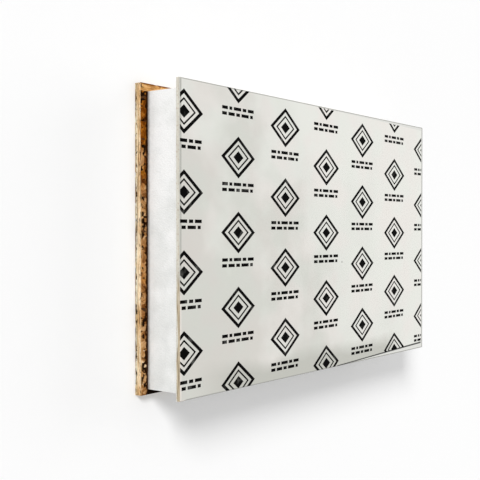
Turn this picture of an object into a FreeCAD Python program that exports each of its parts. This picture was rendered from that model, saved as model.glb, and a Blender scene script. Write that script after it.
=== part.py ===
import FreeCAD, Part
import os

# A structural insulated panel, lying flat on its strand board with the printed face up.
# Millimetres. The origin is the middle of the underside: +X runs along the length, +Y across the
# width towards the upper edge of the panel as it stands in a wall, and +Z out of the printed face.

# Outline that the two boards share
panel_length = 1000.0
panel_width = 600.0

# Thickness of each layer, from the underside up
osb_thickness = 15.0
core_thickness = 90.0
face_thickness = 9.0

# How far the foam core stops short of the boards' edges, which leaves a groove between the boards
# for the spline or the plate that joins this panel to the next one
end_groove_depth = 19.0
upper_groove_depth = 15.0
lower_groove_depth = 10.0

# Arris taken off the sawn edges, so that they don't splinter or chip
osb_arris = 0.6
face_arris = 0.8

# Heights of the two glued faces
osb_top = osb_thickness
core_top = osb_top + core_thickness


def slab(x_low, x_high, y_low, y_high, z_low, thickness):
    """A flat block between two lengthwise, two crosswise and two height limits."""
    outline = [(x_low, y_low), (x_high, y_low), (x_high, y_high), (x_low, y_high), (x_low, y_low)]
    wire = Part.makePolygon([FreeCAD.Vector(x, y, z_low) for x, y in outline])
    return Part.Face(wire).extrude(FreeCAD.Vector(0, 0, thickness))


def edges_at_height(solid, height):
    """The edges of a block that lie all round it at one height."""
    found = []
    for edge in solid.Edges:
        ends = [vertex.Z for vertex in edge.Vertexes]
        if max(abs(z - height) for z in ends) < 1e-6:
            found.append(edge)
    return found


def board(z_low, thickness, arris, outer_height):
    """One facing board over the whole outline, with the arris off round its outer face."""
    half_length = panel_length / 2
    half_width = panel_width / 2
    blank = slab(-half_length, half_length, -half_width, half_width, z_low, thickness)
    return blank.makeChamfer(arris, edges_at_height(blank, outer_height))


def osb_board():
    """The oriented strand board that the panel lies on."""
    return board(0.0, osb_thickness, osb_arris, 0.0)


def foam_core():
    """The hot-wire cut foam block, set back from the boards on all four sides."""
    core_end = panel_length / 2 - end_groove_depth
    core_upper = panel_width / 2 - upper_groove_depth
    core_lower = -panel_width / 2 + lower_groove_depth
    return slab(-core_end, core_end, core_lower, core_upper, osb_top, core_thickness)


def face_board():
    """The thinner, smooth board whose printed side is the panel's show face."""
    return board(core_top, face_thickness, face_arris, core_top + face_thickness)


os.makedirs("parts", exist_ok=True)
pieces = {"osb_board": osb_board(), "foam_core": foam_core(), "face_board": face_board()}
for name, solid in pieces.items():
    solid.exportStep("parts/" + name + ".step")
    box = solid.BoundBox
    print(name, "valid", solid.isValid(), "volume", round(solid.Volume),
          "size", round(box.XLength, 3), round(box.YLength, 3), round(box.ZLength, 3),
          "from z", round(box.ZMin, 3))
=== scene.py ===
import math
import random

import bmesh
import bpy
import numpy as np
from mathutils import Matrix, Vector, noise


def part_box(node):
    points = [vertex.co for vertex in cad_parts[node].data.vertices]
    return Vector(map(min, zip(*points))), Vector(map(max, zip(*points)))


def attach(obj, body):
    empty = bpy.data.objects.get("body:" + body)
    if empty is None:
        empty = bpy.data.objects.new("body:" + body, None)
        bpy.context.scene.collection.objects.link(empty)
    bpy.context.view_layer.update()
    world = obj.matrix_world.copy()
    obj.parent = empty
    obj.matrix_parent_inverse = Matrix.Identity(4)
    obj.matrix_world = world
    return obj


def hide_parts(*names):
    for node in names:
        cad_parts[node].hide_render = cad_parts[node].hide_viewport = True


# The finished look of a structural insulated panel that lies flat: a board of pressed strands, a
# core of white foam beads and a thin pale board under a printed film. Metres, in the frame's axes:
# +X along the panel, +Y to its upper edge in the picture and +Z out of the printed face.
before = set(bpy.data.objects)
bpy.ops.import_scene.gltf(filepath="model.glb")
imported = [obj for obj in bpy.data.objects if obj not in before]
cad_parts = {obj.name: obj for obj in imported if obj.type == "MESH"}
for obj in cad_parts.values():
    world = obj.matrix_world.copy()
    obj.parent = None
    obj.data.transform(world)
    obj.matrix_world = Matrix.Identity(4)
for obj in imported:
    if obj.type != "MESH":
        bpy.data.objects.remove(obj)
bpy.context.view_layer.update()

MM = 0.001
osb_low, osb_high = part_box("osb_board")
foam_low, foam_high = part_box("foam_core")
face_low, face_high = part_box("face_board")

# Pressed strands: wide ones over the underside, narrower and more crossed where the core ends.
# Taper, raggedness and widths are shares of a strand's own size. A tone is a mean and a spread on
# the way from dark, 0, to pale, 1.
FLAKE_SEED = 7
FLAKE_STEPS = 4
FLAKE_KINDS = 12
FLAKE_TAPER = 0.25
FLAKE_RAGGED = 0.05
FLAKE_WIDTHS = (0.85, 1.0)
MIDDLE_RAGGED = 0.4
USUAL_WIDTH = 0.4
FLAKE_THICKNESS = 0.5 * MM
FLAKE_TILT = 0.12 * MM
FLAKE_TONE = (0.55, 0.2)
TONE_LIMITS = (0.02, 0.98)
UNDERSIDE_FLAKES = {"per_square_metre": 2600, "length": (70 * MM, 130 * MM),
                    "width": (8 * MM, 26 * MM), "spread": math.radians(17)}
MARGIN_FLAKES = {"per_square_metre": 6500, "length": (40 * MM, 100 * MM),
                 "width": (4 * MM, 14 * MM), "spread": math.radians(38)}
MARGIN_REACH = 40 * MM
FACE_RELIEF = 0.45 * MM
# Each flake's grain starts this much further on in the pattern than the one's before it
GRAIN_STEP = 0.137

# Sawn strands: layers of slivers round the board, cut lengthwise in some and across in others,
# with a joint or an overlap between neighbours. The outer layers have more gaps.
BOARD_SEED = 15
BODY_INSET = Vector((0.5, 0.5, 0.6)) * MM
SLIVER_KINDS = 8
SLIVER_TAPER = 0.8
SLIVER_RAGGED = 0.02
SLIVER_TONE = (0.55, 0.22)
SLIVER_DEPTH = 0.8 * MM
SLIVER_LIFT = 0.12 * MM
SLIVER_LIFT_LIMIT = 0.14 * MM
SLIVER_SLANT = 0.15 * MM
SHORTEST_SLIVER = 2 * MM
SHORTEST_SLANTED = 20 * MM
CUT_LENGTHWISE = (50 * MM, 125 * MM)
CUT_ACROSS = (8 * MM, 26 * MM)
FIRST_STAGGER = 20 * MM
JOINTS = (-0.5 * MM, 2.2 * MM)
SAWN_CLEAR = 0.2 * MM
SAWN_LAYER = 0.78 * MM
SAWN_THICKNESS = (0.75, 1.15)
SAWN_RELIEF = 0.35 * MM
OUTER_LAYERS = 3
OUTER_GAPS = 0.2
INNER_GAPS = 0.03
# Painted shade of voids in the sawn edge grows towards the outer arris and a little to the lower edge
VOID_SHADE_GROWS = (0.0, -0.07, -30.0)

# The map that finishes are baked through: each flake has a cell, and these are the shares of it
# that go to the flake's shown side, its edges and its hidden side
CELL_ASPECT = 5
CELL_FILL = 0.85
SHOWN_BAND = (0.2, 0.94)
EDGE_BAND = (0.1, 0.14)
HIDDEN_BAND = (0.02, 0.06)

# Foam beads, with creases between them and a slow wave over the cut sides. Creases reach over a
# share of a bead.
BEAD = 4.2 * MM
FOAM_STEP = 2.3 * MM
FOAM_SUNK = 0.2 * MM
FOAM_WAVE = 0.2 * MM
WAVE_SIZE = 60 * MM
CREASE_DEPTH = 0.18 * MM
CREASE_REACH = 0.35

# Points this near each other are one, and a point this near a plane is on it
WELD = 0.05 * MM
ON_PLANE = 0.1 * MM

# Face board and its film, whose corners run anticlockwise seen from above: it stops short at the
# far end, where it was laid a little askew
FACE_ARRIS = 0.8 * MM
FILM_THICKNESS = 0.25 * MM
FILM_SINK = 0.05 * MM
FILM_OUTLINE = [(-0.4992, -0.2992), (0.045, -0.2992), (0.4915, -0.2852),
                (0.4915, 0.2912), (-0.20, 0.2992), (-0.4992, 0.2992)]
SIDE_RIM = 2.2 * MM
END_RIM = 5 * MM

# The print: an upright double lozenge with a solid heart, over two rows of short dashes, whose
# lengths are in millimetres
INK_THICKNESS = 0.05 * MM
PRINT_PITCH = (165 * MM, 150 * MM)
PRINT_START = (12 * MM, 62 * MM)
LOZENGE = (55 * MM, 42 * MM)
LOZENGE_STROKES = ((1.0, 7 * MM), (0.62, 3.6 * MM))
HEART_SHARE = 0.3
DASH_ROWS = (-54 * MM, -65.5 * MM)
DASH_HEIGHT = 6.5 * MM
DASH_GAP = 5 * MM
DASH_LENGTHS = (18, 9, 24, 12, 20, 15)
DASH_SPAN = 104 * MM

# The dark line, a painted shadow along the film's cut lower edge, and a speck on the film
CUT_LINE = ((0.056, -0.2988), (0.4895, -0.2852))
CUT_LINE_WIDTH = 4.2 * MM
CUT_LINE_TAPER = 0.5
SPECK = (0.076, -0.056)
SPECK_SIZE = (5 * MM, 1.6 * MM)

# Where a look comes in along Y, from none to all of it
# Painted shade in the end grooves, rising towards their upper and lower corners
SHADE_ABOVE = (0.1, 0.17)
SHADE_BELOW = (-0.24, -0.33)
# A painted highlight along the end grooves' arris, coming in low down
HIGHLIGHT_BELOW = (0.13, 0.06)
LOWER_HALF = (-0.06, -0.12)
# How much painted light lightens the film along each axis, and how much of the brown ply shows high up
FILM_PAINTED_LIGHT = (0.34, 0.29, 0.0)
FAINT_PLY = 0.22

# Camera, worked out from the panel's corners in the picture
CAMERA_PLACE = (-1.7283, 0.0106, 1.2009)
CAMERA_LENS = 66.56
CAMERA_SENSOR = 36.0
LOOK_DOWN = math.radians(37.62)
LOOK_ASIDE = math.radians(-0.406)

# Room: the even light in it, what the floor adds for the camera, and two soft lights, each with
# the direction it comes from, its spread in degrees and its level
WORLD_LEVEL = 0.5
FLOOR_GLOW = 0.18
FLOOR_REACH = 40.0
SOFT_LIGHTS = {"key_light": ((-1.3, 1.05, 1.0), 20, 0.84),
               "sheen_light": ((1.0, 0.2, 0.38), 34, 0.22)}


def linear(hex_colour):
    """An sRGB hex colour as the linear numbers that a shader takes."""
    channels = [int(hex_colour[i:i + 2], 16) / 255 for i in (1, 3, 5)]
    return [c / 12.92 if c <= 0.04045 else ((c + 0.055) / 1.055) ** 2.4 for c in channels] + [1.0]


def add_node(material, kind, settings=None, inputs=None, stops=()):
    """Adds a shader node with its settings, its socket values or links, and any colour stops."""
    tree = material.node_tree
    node = tree.nodes.new("ShaderNode" + kind)
    for name, value in (settings or {}).items():
        setattr(node, name, value)
    for name, value in (inputs or {}).items():
        if isinstance(value, bpy.types.NodeSocket):
            tree.links.new(value, node.inputs[name])
        else:
            node.inputs[name].default_value = value
    for place, colour in stops:
        bands = node.color_ramp.elements
        band = {0.0: bands[0], 1.0: bands[-1]}.get(place) or bands.new(place)
        band.color = linear(colour)
    return node


def new_material(name):
    """An empty node material."""
    material = bpy.data.materials.new(name)
    material.use_nodes = True
    material.node_tree.nodes.clear()
    return material


def place_on_panel(made):
    """Where a point lies in the panel's own frame."""
    return add_node(made, "TexCoord").outputs["Object"]


def axes_of(made, place):
    """The X, Y and Z of a place, each by itself."""
    return add_node(made, "SeparateXYZ", inputs={"Vector": place}).outputs


def maths(made, operation, *terms):
    """One step of arithmetic on numbers and sockets."""
    return add_node(made, "Math", {"operation": operation}, dict(enumerate(terms))).outputs[0]


def product(made, *terms):
    """All terms multiplied together."""
    whole = terms[0]
    for term in terms[1:]:
        whole = maths(made, "MULTIPLY", whole, term)
    return whole


def plus(made, base, extra, times):
    """A base with so many times an extra number on it."""
    return maths(made, "MULTIPLY_ADD", extra, times, base)


def between(made, value, low, high):
    """Runs from 0 to 1 as a value goes from low to high."""
    span = add_node(made, "MapRange", inputs={"Value": value, "From Min": low, "From Max": high})
    return span.outputs["Result"]


def outside(made, coordinate, limit, side):
    """How far a point lies beyond a limit on one axis, in metres."""
    return maths(made, "MULTIPLY_ADD", coordinate, side, -side * limit)


def patches(made, place, size, detail):
    """Soft random patches of about this size in metres, as a number that lies about 0.5."""
    cloud = add_node(made, "TexNoise", inputs={"Vector": place, "Scale": 1 / size, "Detail": detail})
    return cloud.outputs["Fac"]


def streaks(made, place, per_metre, detail):
    """Random streaks: so many patches to the metre along each axis."""
    run = add_node(made, "Mapping", inputs={"Vector": place, "Scale": per_metre}).outputs[0]
    return patches(made, run, 1.0, detail)


def ramp(made, value, stops):
    """The colour that a number from 0 to 1 picks from a row of stops."""
    return add_node(made, "ValToRGB", inputs={"Fac": value}, stops=stops).outputs["Color"]


def mixed(made, share, first, second, blend="MIX"):
    """Two colours mixed by a share."""
    both = {"Fac": share, "Color1": first, "Color2": second}
    return add_node(made, "MixRGB", {"blend_type": blend}, both).outputs["Color"]


def finish_material(made, colour, roughness, specular, height=None, depth=0.0):
    """Closes a material with one shader and, if there is a height, a fine relief."""
    shader = add_node(made, "BsdfPrincipled", inputs={
        "Base Color": colour, "Roughness": roughness, "Specular IOR Level": specular})
    if height is not None:
        bump = add_node(made, "Bump", inputs={"Height": height, "Strength": 1.0, "Distance": depth})
        made.node_tree.links.new(bump.outputs[0], shader.inputs["Normal"])
    add_node(made, "OutputMaterial", inputs={"Surface": shader.outputs[0]})
    return made


def strand_tone(made, along_fibre, across_fibre, contrast):
    """Each strand's own tone with the streaks of its grain on it, as one number."""
    tone = add_node(made, "Attribute", {"attribute_name": "tone"}).outputs["Fac"]
    run = add_node(made, "UVMap", {"uv_map": "Grain"}).outputs["UV"]
    grain = streaks(made, run, (1 / along_fibre, 1 / across_fibre, 1), 4.0)
    return maths(made, "ADD", tone, maths(made, "MULTIPLY_ADD", grain, contrast, -contrast / 2))


def pressed_strands():
    """Outer face of strand board: pine strands pressed flat under waxed resin, each its own tan."""
    made = new_material("pressed_pine_strands")
    tone = strand_tone(made, 33 * MM, 1.4 * MM, 0.55)
    colour = ramp(made, tone, [
        (0.0, "#6E4420"), (0.25, "#A67437"), (0.5, "#C9964F"), (0.75, "#DDB170"), (1.0, "#EBCB95")])
    return finish_material(made, colour, 0.62, 0.35, tone, 0.05 * MM)


def glued_strands():
    """Inner face of strand board in the grooves: golden brown, darkened to amber by painted shade that
    is deepest towards the upper and lower corners, with flecks of bark in clusters, almost black
    along the core (glue and painted shade) and in the lower groove (painted shade), paler in the
    upper groove, and with a painted highlight along the arris low down."""
    made = new_material("glued_pine_strands")
    tone = strand_tone(made, 16 * MM, 1.5 * MM, 1.1)
    place = place_on_panel(made)
    axes = axes_of(made, place)
    blotches = patches(made, place, 9 * MM, 3.0)

    # Brown wood, darkened to amber by painted shade, by zones and most of all towards the corners
    wood = ramp(made, tone, [
        (0.0, "#4A280F"), (0.3, "#8E6033"), (0.55, "#BC8F5C"), (0.8, "#D6AF82"), (1.0, "#E8CCA6")])
    to_corners = maths(made, "MAXIMUM", between(made, axes["Y"], *SHADE_ABOVE),
                       between(made, axes["Y"], *SHADE_BELOW))
    painted_amber_shade = between(made, plus(made, patches(made, place, 75 * MM, 1.0), to_corners, 0.3), 0.42, 0.66)
    amber = mixed(made, between(made, blotches, 0.4, 0.6), linear("#A07120"), linear("#DFB462"))
    amber_shaded = mixed(made, painted_amber_shade, wood, amber, "MULTIPLY")

    # Flecks of bark, crowded in places and a little more so where the painted shade is
    crowded = plus(made, blotches, patches(made, place, 34 * MM, 2.0), 0.7)
    bark = between(made, plus(made, crowded, painted_amber_shade, 0.05), 0.94, 0.99)
    flecked = mixed(made, bark, amber_shaded, linear("#1E0E03"))

    # The upper groove has no painted shade and is pale up to a brown arris
    upper_wood = ramp(made, tone, [
        (0.0, "#5A3010"), (0.34, "#94591F"), (0.5, "#D29A56"), (0.8, "#E9BD82"), (1.0, "#F2D2A0")])
    pale = mixed(made, 0.3, upper_wood, linear("#E8B878"))
    from_upper = outside(made, axes["Y"], foam_high.y, 1)
    in_upper = between(made, from_upper, -0.5 * MM, 0.5 * MM)
    groove = osb_high.y - foam_high.y
    at_arris = between(made, plus(made, from_upper, blotches, 5 * MM),
                       groove - 0.6 * MM, groove + 0.8 * MM)
    by_groove = mixed(made, in_upper, flecked, mixed(made, at_arris, pale, linear("#7A4316")))

    # A painted highlight along the arris over the lower part of the two ends
    from_end = outside(made, maths(made, "ABSOLUTE", axes["X"]), foam_high.x, 1)
    arris_highlight = product(made, between(made, from_end, 15 * MM, 18 * MM),
                     between(made, axes["Y"], *HIGHLIGHT_BELOW), 0.5)
    with_arris_highlight = mixed(made, arris_highlight, by_groove, linear("#D8AE78"))

    # A ragged dark line of glue and painted shade beside the core, and the lower groove in painted
    # shade
    ragged = plus(made, from_end, blotches, -12 * MM)
    glue_and_shade_line = maths(made, "SUBTRACT", between(made, ragged, 0.4 * MM, -2.4 * MM), in_upper)
    glued = mixed(made, glue_and_shade_line, with_arris_highlight, linear("#2A1202"))
    in_lower = between(made, outside(made, axes["Y"], foam_low.y, -1), -1 * MM, 1 * MM)
    # Painted shade: the lower groove almost black along the core's length
    groove_shade = product(made, in_lower, between(made, from_end, 3 * MM, -1 * MM))
    colour = mixed(made, groove_shade, glued, linear("#140A04"))
    return finish_material(made, colour, 0.8, 0.02, tone, 0.06 * MM)


def sawn_strands():
    """Sawn edge of strand board: pale, faintly green layers outside, peach cross strands in the
    middle, a cream line at the inner arris, and voids along the outer one, dark with painted shade."""
    made = new_material("sawn_pine_strands")
    tone = strand_tone(made, 8 * MM, 0.7 * MM, 0.6)
    place = place_on_panel(made)
    axes = axes_of(made, place)
    layer = ramp(made, between(made, axes["Z"], osb_low.z, osb_high.z), [
        (0.0, "#D6DCCC"), (0.22, "#EFF0E0"), (0.42, "#F2E4CB"), (0.66, "#F3DFC0"), (0.84, "#FFF3DC"),
        (1.0, "#F8DDB6")])
    shade = ramp(made, tone, [
        (0.0, "#84623E"), (0.3, "#DCC9AE"), (0.5, "#F3EBDE"), (0.7, "#FDF9F2"), (1.0, "#FFFFFF")])
    sawn = mixed(made, 1.0, layer, shade, "MULTIPLY")
    stretch = between(made, patches(made, place, 85 * MM, 2.0), 0.52, 0.38)
    weathered = mixed(made, stretch, sawn, linear("#E9D6BC"), "MULTIPLY")
    # Dark patches of painted shade for voids, more towards the outer arris and low down
    slope = add_node(made, "VectorMath", {"operation": "DOT_PRODUCT"}, {0: place, 1: VOID_SHADE_GROWS})
    void_shade = maths(made, "ADD", streaks(made, place, (85, 85, 240), 2.0), slope.outputs["Value"])
    colour = mixed(made, between(made, void_shade, 0.47, 0.5), weathered, linear("#1E160C"))
    return finish_material(made, colour, 0.85, 0.1)


def strand_gaps():
    """The wood seen down the small gaps between strands, in a dark brown that is painted shade."""
    made = new_material("strand_gap_shade_brown")
    place = place_on_panel(made)
    colour = ramp(made, patches(made, place, 9 * MM, 2.0), [(0.0, "#241306"), (1.0, "#5E3B18")])
    return finish_material(made, colour, 0.85, 0.2)


def expanded_polystyrene():
    """White foam of fused beads, cut with a hot wire: matt, the beads told apart by painted shade in
    their creases, a little greyer low down and lighter high up as painted light, with a thin soft band
    of glue stain and painted contact shade where it stands on the strand board."""
    made = new_material("expanded_polystyrene")
    place = place_on_panel(made)
    axes = axes_of(made, place)
    cells = add_node(made, "TexVoronoi", {"feature": "DISTANCE_TO_EDGE"},
                     {"Vector": place, "Scale": 1 / BEAD}).outputs["Distance"]
    # Seams between beads a little greyer: painted shade in the creases
    seam_shade = ramp(made, cells, [(0.0, "#DCDCDC"), (0.1, "#E6E6E6"), (1.0, "#E9E9E9")])
    # Lighter towards the upper side, +Y, as painted light, over random patches
    patches_and_top_light = plus(made, patches(made, place, 38 * MM, 2.0), axes["Y"], 0.6)
    tint = ramp(made, patches_and_top_light, [
        (0.0, "#E5E6E4"), (0.35, "#F0F1EF"), (0.7, "#FFFFFE"), (1.0, "#FFFFFE")])
    white = mixed(made, 1.0, seam_shade, tint, "MULTIPLY")
    # A soft dark band at the foot: glue stain with painted contact shade
    above_glue = plus(made, axes["Z"], patches(made, place, 12 * MM, 2.0), 4 * MM)
    glue_and_contact_shade = between(made, above_glue, foam_low.z + 8.5 * MM, foam_low.z + 2 * MM)
    colour = mixed(made, glue_and_contact_shade, white, linear("#9C928C"), "MULTIPLY")
    return finish_material(made, colour, 0.8, 0.25, cells, 0.12 * MM)


def at_rim(made, axes):
    """1 in a narrow rim inside the panel's outline and 0 further in; wider at the two ends."""
    reach = [outside(made, maths(made, "ABSOLUTE", axes[axis]), limit - width, 1)
             for axis, limit, width in (("X", face_high.x, END_RIM), ("Y", face_high.y, SIDE_RIM))]
    return between(made, maths(made, "MAXIMUM", *reach), -0.3 * MM, 0.3 * MM)


def painted_rim_shading(made, axes, near_low):
    """The rim's grey, a painted shade at the arris, which is another colour along the near end's lower
    half.
    """
    at_near_end = between(made, axes["X"], face_low.x + 20 * MM, face_low.x + 10 * MM)
    low_down = product(made, at_near_end, between(made, axes["Y"], *LOWER_HALF))
    grey = mixed(made, at_near_end, linear("#A6A6A0"), linear("#B4B4AD"))
    return mixed(made, low_down, grey, linear(near_low))


def fibre_cement():
    """Fibre cement board: off-white on its face, with painted shade in grey at the arris, cream along
    its sawn edge with pinkish spots, and with a streaked tan and grey-brown ply that is faint along the
    upper half and strong along the lower."""
    made = new_material("fibre_cement_board")
    place = place_on_panel(made)
    axes = axes_of(made, place)
    plies = streaks(made, place, (22, 22, 420), 4.0)
    cream = ramp(made, plies, [(0.0, "#A6A293"), (0.45, "#CAC8BE"), (1.0, "#DDDCD4")])
    tan = ramp(made, plies, [(0.0, "#55493A"), (0.4, "#8A7C66"), (0.56, "#B3A48A"), (1.0, "#D8CEBA")])
    waver = patches(made, place, 70 * MM, 1.0)
    outer_ply = between(made, plus(made, axes["Z"], waver, 14 * MM),
                        face_low.z + 9.4 * MM, face_low.z + 11.6 * MM)
    low_down = between(made, plus(made, axes["Y"], waver, 0.3), 0.17, 0.07)
    tanned = product(made, outer_ply, maths(made, "MAXIMUM", low_down, FAINT_PLY))
    spots = between(made, patches(made, place, 4 * MM, 2.0), 0.56, 0.7)
    spotted = mixed(made, spots, cream, linear("#B7A698"))
    sawn = mixed(made, tanned, spotted, tan)
    # The face, with painted shade in grey at the arris and a tan along the lower half of the near end
    face = mixed(made, at_rim(made, axes), linear("#DEDED9"), painted_rim_shading(made, axes, "#A99B84"))
    top = between(made, axes["Z"], face_high.z - 1.1 * MM, face_high.z - 1.0 * MM)
    return finish_material(made, mixed(made, top, sawn, face), 0.85, 0.25)


def polyethylene_film():
    """Off-white film drawn over the face board: satin, clouded in greenish and pinkish grey, with
    painted light making it lighter towards its far upper corner, a band of painted shade along its
    lower edge, and painted shade at its rim but for a painted highlight along the lower half of its
    near end."""
    made = new_material("printed_polyethylene_film")
    place = place_on_panel(made)
    axes = axes_of(made, place)
    cloud = patches(made, place, 150 * MM, 3.0)
    # Painted light: the film lighter towards its far upper corner, over its clouds
    slope = add_node(made, "VectorMath", {"operation": "DOT_PRODUCT"}, {0: place, 1: FILM_PAINTED_LIGHT})
    shade = ramp(made, plus(made, slope.outputs["Value"], cloud, 0.45), [
        (0.0, "#D1D0CB"), (0.12, "#D3D2CD"), (0.205, "#E0DFDB"), (0.32, "#E5E4E0"), (1.0, "#EBEAE6")])
    tint = ramp(made, patches(made, place, 85 * MM, 2.0), [
        (0.0, "#FAFFF9"), (0.42, "#FDFFFC"), (0.58, "#FFFDFB"), (1.0, "#FFFAF8")])
    clouded = mixed(made, 1.0, shade, tint, "MULTIPLY")

    # The band of painted shade along the lower edge, which leaves out both ends
    low_down = between(made, plus(made, axes["Y"], cloud, 50 * MM),
                       face_low.y + 85 * MM, face_low.y + 50 * MM)
    past_near_end = between(made, axes["X"], face_low.x + 40 * MM, face_low.x + 170 * MM)
    before_far_end = between(made, axes["X"], face_high.x - 130 * MM, face_high.x - 210 * MM)
    band = product(made, low_down, past_near_end, before_far_end)
    lower_shade_banded = mixed(made, band, clouded, linear("#BEBEB6"))
    # Painted shade in grey round the rim, and a painted highlight along the lower half of the near end
    rim_shaded = mixed(made, at_rim(made, axes), lower_shade_banded, painted_rim_shading(made, axes, "#DFDAD3"))
    return finish_material(made, rim_shaded, 0.66, 0.34)


def printing_ink():
    """Black printing ink: a thin matt layer, greyer where the plate printed light."""
    made = new_material("black_printing_ink")
    place = place_on_panel(made)
    colour = ramp(made, patches(made, place, 22 * MM, 3.0), [
        (0.0, "#020202"), (0.58, "#060606"), (0.66, "#343432"), (1.0, "#8A8A86")])
    return finish_material(made, colour, 0.8, 0.02)


def edge_shadow_and_speck_grey():
    """The grey-black of the painted shadow along the film's cut edge, and of the speck on it."""
    made = new_material("grey_edge_shadow_and_speck")
    place = place_on_panel(made)
    colour = ramp(made, patches(made, place, 30 * MM, 3.0), [
        (0.0, "#222220"), (0.5, "#343432"), (1.0, "#62625C")])
    return finish_material(made, colour, 0.6, 0.3)


def mesh_of(bm, name):
    """The mesh that a finished bmesh holds."""
    mesh = bpy.data.meshes.new(name)
    bm.to_mesh(mesh)
    bm.free()
    return mesh


def add_piece(name, mesh, material, node):
    """Puts a mesh in the scene as a piece that stands for one of the panel's solids."""
    mesh.materials.append(material)
    piece = bpy.data.objects.new(name, mesh)
    bpy.context.scene.collection.objects.link(piece)
    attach(piece, "root")
    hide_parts(node)


def box_bmesh(low, high):
    """A closed box between two corners."""
    bm = bmesh.new()
    low, high = Vector(low), Vector(high)
    shape = Matrix.Translation((low + high) / 2) @ Matrix.Diagonal((*(high - low), 1))
    bmesh.ops.create_cube(bm, size=1.0, matrix=shape)
    return bm


def flake_shape(draw, taper, ragged):
    """The points and faces of one flake, a unit long, wide and thick, with uneven ends, and where
    the faces' corners lie in the flake's cell of the baked map."""
    bm = bmesh.new()
    bmesh.ops.create_grid(bm, x_segments=FLAKE_STEPS, y_segments=1, size=0.5)
    for vert in bm.verts:
        at_end = abs(vert.co.x) > 0.49
        vert.co.y *= (1 - taper * at_end) * draw.uniform(*FLAKE_WIDTHS)
        vert.co.x += draw.uniform(-ragged, ragged) * (1.0 if at_end else MIDDLE_RAGGED)
    thicken(bm, bm.faces[:], -1)
    bm.verts.index_update()
    points = np.array([vert.co for vert in bm.verts])
    faces = np.array([[vert.index for vert in face.verts] for face in bm.faces])
    cell = []
    for face in bm.faces:
        if abs(face.normal.z) > 0.5:
            low, high = SHOWN_BAND if face.normal.z > 0 else HIDDEN_BAND
            shares = [vert.co.y + 0.5 for vert in face.verts]
        else:
            low, high = EDGE_BAND
            shares = [-vert.co.z for vert in face.verts]
        cell.append([(0.5 + CELL_FILL * vert.co.x, low + (high - low) * share)
                     for vert, share in zip(face.verts, shares)])
    bm.free()
    return points, faces, np.array(cell)


def scatter_flakes(name, shapes, centre, along, outward, size, tone):
    """One mesh of many flakes: each has its middle, its direction, its outward side, its length,
    width and thickness, and its tone."""
    count = len(centre)
    across = np.cross(outward, along)
    across /= np.linalg.norm(across, axis=1, keepdims=True)
    which = np.arange(count) % len(shapes)
    shape = np.stack([points for points, faces, cell in shapes])[which]
    corner_count = shape.shape[1]
    reach = shape * size[:, None, :]
    points = (centre[:, None, :] + reach[:, :, 0:1] * along[:, None, :]
              + reach[:, :, 1:2] * across[:, None, :] + reach[:, :, 2:3] * outward[:, None, :])
    first_corner = np.arange(count)[:, None, None] * corner_count
    faces = (shapes[0][1][None] + first_corner).reshape(-1, shapes[0][1].shape[1])
    mesh = bpy.data.meshes.new(name)
    mesh.from_pydata(points.reshape(-1, 3).tolist(), [], faces.tolist())
    tones = mesh.attributes.new("tone", "FLOAT", "POINT")
    tones.data.foreach_set("value", np.repeat(tone, corner_count))
    # The grain runs along each flake, from a place of its own in the pattern
    grain = reach[:, :, :2] + (np.arange(count) * GRAIN_STEP % 1.0)[:, None, None]
    corners = np.empty(len(mesh.loops), dtype=np.int32)
    mesh.loops.foreach_get("vertex_index", corners)
    grain = grain.reshape(-1, 2)[corners]
    # Each flake has a long low cell of its own in the map that finishes are baked through
    columns = math.ceil(math.sqrt(count / CELL_ASPECT))
    rows = math.ceil(count / columns)
    first = np.stack([np.arange(count) % columns, np.arange(count) // columns], axis=1)
    cell = np.stack([cell for points, faces, cell in shapes])[which]
    baked = (first[:, None, None, :] + cell) / (columns, rows)
    for layer, places in (("Grain", grain), ("OFBake", baked)):
        mesh.uv_layers.new(name=layer).uv.foreach_set("vector", places.astype(np.float32).ravel())
    return mesh


def cut_off(bm, place, outward):
    """Cuts off all that lies beyond a plane."""
    everything = bm.verts[:] + bm.edges[:] + bm.faces[:]
    bmesh.ops.bisect_plane(bm, geom=everything, plane_co=place, plane_no=outward, clear_outer=True)


def thicken(bm, faces, height):
    """Raises a copy of some faces by a height, and closes the body between."""
    raised = bmesh.ops.extrude_face_region(bm, geom=faces, use_keep_orig=True)["geom"]
    moved = [item for item in raised if isinstance(item, bmesh.types.BMVert)]
    bmesh.ops.translate(bm, verts=moved, vec=(0, 0, height))
    bmesh.ops.recalc_face_normals(bm, faces=bm.faces[:])


def trim_to_board(mesh):
    """Cuts off what reaches past the strand board's four sides and closes the cuts."""
    bm = bmesh.new()
    bm.from_mesh(mesh)
    for axis in (0, 1):
        for limit, side in ((osb_low, -1), (osb_high, 1)):
            normal = [0, 0, 0]
            normal[axis] = side
            place = [0, 0, 0]
            place[axis] = limit[axis]
            cut_off(bm, place, normal)
            rims = [edge for edge in bm.edges if edge.is_boundary]
            filled = bmesh.ops.holes_fill(bm, edges=rims)["faces"]
            for layer in bm.loops.layers.uv.values():
                for face in filled:
                    for corner in face.loops:
                        beside = next(other for other in corner.vert.link_loops if other.face != face)
                        corner[layer].uv = beside[layer].uv
    bm.to_mesh(mesh)
    bm.free()
    return mesh


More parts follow.
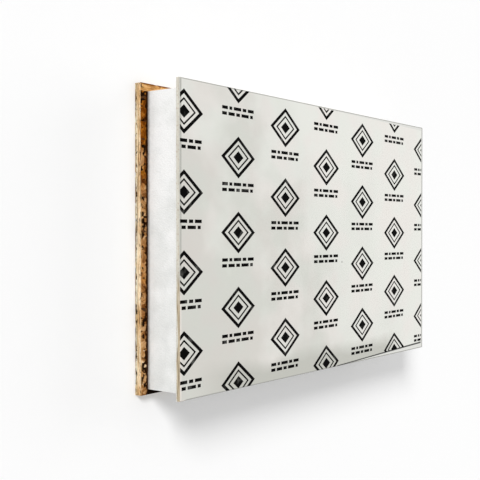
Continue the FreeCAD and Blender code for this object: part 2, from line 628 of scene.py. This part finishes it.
def face_flakes(name, draw, kind, places, height, up):
    """Strands pressed into a face of the board, at these places, each turned and tilted a little."""
    count = len(places)
    turn = draw.normal(0, kind["spread"], count)
    length = draw.uniform(*kind["length"], count)
    narrow, wide = kind["width"]
    usual = (1 - USUAL_WIDTH) * narrow + USUAL_WIDTH * wide
    width = draw.triangular(narrow, usual, wide, count)
    tilt = draw.uniform(-FLAKE_TILT, FLAKE_TILT, count)
    depth = draw.uniform(0, FACE_RELIEF, count) + np.abs(tilt)
    along = np.stack([np.cos(turn), np.sin(turn), tilt / (length / 2)], axis=1)
    along /= np.linalg.norm(along, axis=1, keepdims=True)
    centre = np.stack([places[:, 0], places[:, 1], height - up * depth], axis=1)
    outward = np.tile([0, 0, float(up)], (count, 1))
    size = np.stack([length, width, np.full(count, FLAKE_THICKNESS)], axis=1)
    tone = np.clip(draw.normal(*FLAKE_TONE, count), *TONE_LIMITS)
    return scatter_flakes(name, flake_shapes, centre, along, outward, size, tone)


def places_on_board(draw, kind):
    """Where the middles of the strands lie over the whole board."""
    span = osb_high - osb_low
    count = int(span.x * span.y * kind["per_square_metre"])
    return np.stack([draw.uniform(osb_low.x, osb_high.x, count),
                     draw.uniform(osb_low.y, osb_high.y, count)], axis=1)


def underside_flakes(draw):
    """Strands over the whole outer face, which the panel lies on."""
    places = places_on_board(draw, UNDERSIDE_FLAKES)
    mesh = face_flakes("underside_strands", draw, UNDERSIDE_FLAKES, places, osb_low.z, -1)
    return trim_to_board(mesh)


def margin_flakes(draw):
    """Strands on the inner face where the core leaves it bare, and a little way in under it."""
    places = places_on_board(draw, MARGIN_FLAKES)
    inward = np.minimum.reduce([places[:, 0] - foam_low.x, foam_high.x - places[:, 0],
                                places[:, 1] - foam_low.y, foam_high.y - places[:, 1]])
    places = places[inward < MARGIN_REACH]
    mesh = face_flakes("margin_strands", draw, MARGIN_FLAKES, places, osb_high.z, 1)
    return trim_to_board(mesh)


def sawn_flakes(draw):
    """Strands cut through by the saw, in layers round the four sides of the board. Those of the
    middle third run across the board, and the others run along it."""
    rows = []
    layers = int((osb_high.z - osb_low.z - 2 * SAWN_CLEAR) / SAWN_LAYER)
    third = layers // 3
    sides = [((-1, 0, 0), (0, 1, 0)), ((1, 0, 0), (0, 1, 0)),
             ((0, -1, 0), (1, 0, 0)), ((0, 1, 0), (1, 0, 0))]
    for outward, run in sides:
        outward, run = np.array(outward, float), np.array(run, float)
        plane = np.abs(outward) * np.where(outward < 0, osb_low, osb_high)
        start, stop = float(run @ np.array(osb_low)), float(run @ np.array(osb_high))
        for layer in range(layers):
            height = osb_low.z + SAWN_CLEAR + (layer + 0.5) * SAWN_LAYER
            in_middle = third <= layer < layers - third
            lengthwise = in_middle == (abs(outward[0]) > 0)
            at = start - draw.uniform(0, FIRST_STAGGER)
            while at < stop:
                length = draw.uniform(*(CUT_LENGTHWISE if lengthwise else CUT_ACROSS))
                low, high = max(at, start), min(at + length, stop)
                at += length + draw.uniform(*JOINTS)
                left_out = OUTER_GAPS if layer < OUTER_LAYERS else INNER_GAPS
                if high - low < SHORTEST_SLIVER or draw.random() < left_out:
                    continue
                lift = np.clip(draw.normal(0, SLIVER_LIFT), -SLIVER_LIFT_LIMIT, SLIVER_LIFT_LIMIT)
                thick = SAWN_LAYER * draw.uniform(*SAWN_THICKNESS)
                centre = plane + run * (low + high) / 2 + np.array([0, 0, height + lift])
                centre -= outward * draw.uniform(0, SAWN_RELIEF)
                slant = draw.normal(0, SLIVER_SLANT) / max(length, SHORTEST_SLANTED)
                tone = np.clip(draw.normal(*SLIVER_TONE), *TONE_LIMITS)
                size = (high - low, thick, SLIVER_DEPTH)
                rows.append((centre, run + np.array([0, 0, slant]), outward, size, tone))
    centre, along, outward, size, tone = (np.array(column) for column in zip(*rows))
    mesh = scatter_flakes("sawn_strands", sliver_shapes, centre, along, outward, size, tone)
    return trim_to_board(mesh)


def strand_board():
    """The strand board: a body, dark as painted shade for the gaps, under strands on its faces and
    sawn slivers round its sides.
    """
    draw = np.random.default_rng(BOARD_SEED)
    body = mesh_of(box_bmesh(osb_low + BODY_INSET, osb_high - BODY_INSET), "strand_body")
    add_piece("strand_body", body, strand_gaps(), "osb_board")
    add_piece("underside_strands", underside_flakes(draw), pressed_strands(), "osb_board")
    add_piece("margin_strands", margin_flakes(draw), glued_strands(), "osb_board")
    add_piece("sawn_strands", sawn_flakes(draw), sawn_strands(), "osb_board")


def foam_block():
    """The core: four hot-wire cut sides with fused beads, closed where it is glued."""
    bm = bmesh.new()
    middle = (foam_low + foam_high) / 2
    span = foam_high - foam_low
    for quarter in range(4):
        turned = Matrix.Rotation(quarter * math.pi / 2, 4, "Z")
        width, reach = (span.x, span.y) if quarter % 2 == 0 else (span.y, span.x)
        upright = Matrix.Rotation(math.pi / 2, 4, "X") @ Matrix.Diagonal((width, span.z, 1, 1))
        place = Matrix.Translation(middle) @ turned @ Matrix.Translation((0, -reach / 2, 0)) @ upright
        bmesh.ops.create_grid(bm, x_segments=round(width / FOAM_STEP),
                              y_segments=round(span.z / FOAM_STEP), size=0.5, matrix=place)
    bmesh.ops.remove_doubles(bm, verts=bm.verts[:], dist=WELD)
    bmesh.ops.edgeloop_fill(bm, edges=[edge for edge in bm.edges if edge.is_boundary])
    bmesh.ops.recalc_face_normals(bm, faces=bm.faces[:])
    for vert in bm.verts:
        nearest = noise.voronoi(vert.co / BEAD)[0]
        crease = max(0.0, 1 - (nearest[1] - nearest[0]) / CREASE_REACH)
        wave = noise.noise(vert.co / WAVE_SIZE)
        sunk = CREASE_DEPTH * crease + FOAM_SUNK + FOAM_WAVE * wave
        from_middle = vert.co - middle
        if abs(from_middle.x) > span.x / 2 - ON_PLANE:
            vert.co.x -= math.copysign(sunk, from_middle.x)
        if abs(from_middle.y) > span.y / 2 - ON_PLANE:
            vert.co.y -= math.copysign(sunk, from_middle.y)
    mesh = mesh_of(bm, "foam_block")
    add_piece("foam_block", mesh, expanded_polystyrene(), "foam_core")


def face_panel():
    """The face board below its film, with the arris off round the show face."""
    top = face_high.z - FILM_THICKNESS - INK_THICKNESS
    bm = box_bmesh(face_low, (face_high.x, face_high.y, top))
    arris = [edge for edge in bm.edges if all(vert.co.z > top - ON_PLANE for vert in edge.verts)]
    bmesh.ops.bevel(bm, geom=arris, offset=FACE_ARRIS, offset_type="OFFSET", affect="EDGES",
                    segments=2, profile=0.5, material=-1)
    add_piece("face_panel", mesh_of(bm, "face_panel"), fibre_cement(), "face_board")


def film_sheet():
    """The film as a thin sheet on the face board."""
    bm = bmesh.new()
    low = face_high.z - FILM_THICKNESS - INK_THICKNESS
    sheet = bm.faces.new([bm.verts.new((x, y, low - FILM_SINK)) for x, y in FILM_OUTLINE])
    thicken(bm, [sheet], FILM_THICKNESS + FILM_SINK)
    mesh = mesh_of(bm, "printed_film")
    add_piece("printed_film", mesh, polyethylene_film(), "face_board")


def flat_lozenge(bm, x, y, share):
    """A solid lozenge, a share of the full size, at a place on the film."""
    corners = [(share * LOZENGE[0], 0), (0, share * LOZENGE[1]),
               (-share * LOZENGE[0], 0), (0, -share * LOZENGE[1])]
    height = face_high.z - INK_THICKNESS
    return bm.faces.new([bm.verts.new((x + a, y + b, height)) for a, b in corners])


def dash_row(bm, x, y, turned):
    """A row of dashes of uneven length, that fills the motif's width."""
    at = x - DASH_SPAN / 2
    lengths = DASH_LENGTHS[::-1] if turned else DASH_LENGTHS
    for length in lengths:
        long = min(length * MM, x + DASH_SPAN / 2 - at)
        if long > MM:
            place = Matrix.Translation((at + long / 2, y, face_high.z - INK_THICKNESS))
            shape = place @ Matrix.Diagonal((long, DASH_HEIGHT, 1, 1))
            bmesh.ops.create_grid(bm, x_segments=1, y_segments=1, size=0.5, matrix=shape)
        at += long + DASH_GAP


def print_motif(bm, x, y):
    """One motif of the print."""
    for share, stroke in LOZENGE_STROKES:
        ring = flat_lozenge(bm, x, y, share)
        ring.normal_update()
        bmesh.ops.inset_individual(bm, faces=[ring], thickness=stroke, use_even_offset=True)
        bmesh.ops.delete(bm, geom=[ring], context="FACES_ONLY")
    flat_lozenge(bm, x, y, HEART_SHARE)
    for row, offset in enumerate(DASH_ROWS):
        dash_row(bm, x, y + offset, row % 2 == 1)


def face_print():
    """The print all over the film, in staggered columns, cut off where the film ends."""
    bm = bmesh.new()
    columns = math.ceil((face_high.x - face_low.x) / PRINT_PITCH[0]) + 1
    rows = math.ceil((face_high.y - face_low.y) / PRINT_PITCH[1]) + 1
    for column in range(columns):
        for row in range(rows):
            x = face_low.x + PRINT_START[0] + column * PRINT_PITCH[0]
            y = face_high.y - PRINT_START[1] - (row - 0.5 * (column % 2)) * PRINT_PITCH[1]
            print_motif(bm, x, y)
    for index, (x, y) in enumerate(FILM_OUTLINE):
        next_x, next_y = FILM_OUTLINE[(index + 1) % len(FILM_OUTLINE)]
        cut_off(bm, (x, y, 0), (next_y - y, x - next_x, 0))
    loose = [vert for vert in bm.verts if not vert.link_faces]
    bmesh.ops.delete(bm, geom=loose, context="VERTS")
    thicken(bm, bm.faces[:], INK_THICKNESS)
    add_piece("film_print", mesh_of(bm, "film_print"), printing_ink(), "face_board")


def film_edge_shadow_and_speck():
    """A tapered dark line, a painted shadow along the film's cut edge, and the speck."""
    bm = bmesh.new()
    height = face_high.z - INK_THICKNESS / 2
    start, stop = Vector(CUT_LINE[0]), Vector(CUT_LINE[1])
    lean = math.atan2(stop.y - start.y, stop.x - start.x)
    middle = (start + stop) / 2
    place = Matrix.Translation((middle.x, middle.y, height)) @ Matrix.Rotation(lean, 4, "Z")
    line = Matrix.Diagonal(((stop - start).length, CUT_LINE_WIDTH, INK_THICKNESS, 1))
    made = bmesh.ops.create_cube(bm, size=1.0, matrix=place @ line)["verts"]
    for vert in made:
        if vert.co.x < middle.x:
            centre = start.y + (vert.co.x - start.x) * math.tan(lean)
            vert.co.y = centre + (vert.co.y - centre) * CUT_LINE_TAPER
    place = Matrix.Translation((*SPECK, height)) @ Matrix.Diagonal((*SPECK_SIZE, INK_THICKNESS, 1))
    bmesh.ops.create_cube(bm, size=1.0, matrix=place)
    add_piece("film_edge_shadow_and_speck", mesh_of(bm, "film_edge_shadow_and_speck"), edge_shadow_and_speck_grey(), "face_board")


def add_floor():
    """A pale studio floor that the camera sees as white, with the panel's shadow kept."""
    made = new_material("studio_floor")
    rays = add_node(made, "LightPath").outputs
    glow = product(made, rays["Is Camera Ray"], FLOOR_GLOW)
    shader = add_node(made, "BsdfPrincipled", inputs={
        "Base Color": linear("#E7E7E7"), "Roughness": 1.0, "Specular IOR Level": 0.0,
        "Emission Color": (1, 1, 1, 1), "Emission Strength": glow})
    add_node(made, "OutputMaterial", inputs={"Surface": shader.outputs[0]})
    bm = bmesh.new()
    bmesh.ops.create_grid(bm, x_segments=1, y_segments=1, size=FLOOR_REACH)
    mesh = mesh_of(bm, "studio_floor")
    mesh.materials.append(made)
    floor = bpy.data.objects.new("studio_floor", mesh)
    bpy.context.scene.collection.objects.link(floor)


def add_world():
    """Even light from a white room, which eye, gloss and glass see at full white."""
    world = bpy.data.worlds.new("studio_room")
    bpy.context.scene.world = world
    world.use_nodes = True
    world.node_tree.nodes.clear()
    rays = add_node(world, "LightPath").outputs
    straight = maths(world, "MAXIMUM", rays["Is Camera Ray"], rays["Is Glossy Ray"])
    seen = maths(world, "MAXIMUM", straight, rays["Is Transmission Ray"])
    strength = add_node(world, "MapRange", inputs={"Value": seen, "To Min": WORLD_LEVEL, "To Max": 1.0})
    shade = add_node(world, "Background", inputs={
        "Color": (1, 1, 1, 1), "Strength": strength.outputs["Result"]})
    add_node(world, "OutputWorld", inputs={"Surface": shade.outputs[0]})


def add_soft_light(name, direction, spread, level):
    """Even soft light from a far direction, spread over some degrees of sky, that lights a white
    card facing it to level."""
    data = bpy.data.lights.new(name, "SUN")
    data.angle = math.radians(spread)
    data.energy = level * math.pi
    lamp = bpy.data.objects.new(name, data)
    lamp.rotation_mode = "QUATERNION"
    lamp.rotation_quaternion = Vector(direction).to_track_quat("Z", "Y")
    bpy.context.scene.collection.objects.link(lamp)


def add_camera():
    """The photograph's eye: off the near end, looking along the panel and down on its face, with
    the panel's +Y upright in the picture."""
    data = bpy.data.cameras.new("camera")
    data.sensor_width = CAMERA_SENSOR
    data.lens = CAMERA_LENS
    camera = bpy.data.objects.new("camera", data)
    look = Vector((math.cos(LOOK_DOWN) * math.cos(LOOK_ASIDE), math.sin(LOOK_ASIDE),
                   -math.sin(LOOK_DOWN) * math.cos(LOOK_ASIDE)))
    right = look.cross(Vector((0, 1, 0))).normalized()
    turned = Matrix((right, right.cross(look), -look)).transposed().to_4x4()
    camera.matrix_world = Matrix.Translation(CAMERA_PLACE) @ turned
    bpy.context.scene.collection.objects.link(camera)
    bpy.context.scene.camera = camera


shape_draw = random.Random(FLAKE_SEED)
flake_shapes = [flake_shape(shape_draw, FLAKE_TAPER, FLAKE_RAGGED) for _ in range(FLAKE_KINDS)]
sliver_shapes = [flake_shape(shape_draw, SLIVER_TAPER, SLIVER_RAGGED) for _ in range(SLIVER_KINDS)]

strand_board()
foam_block()
face_panel()
film_sheet()
face_print()
film_edge_shadow_and_speck()
add_floor()
add_world()
for name, light in SOFT_LIGHTS.items():
    add_soft_light(name, *light)
add_camera()
bpy.context.scene.view_settings.view_transform = "Standard"
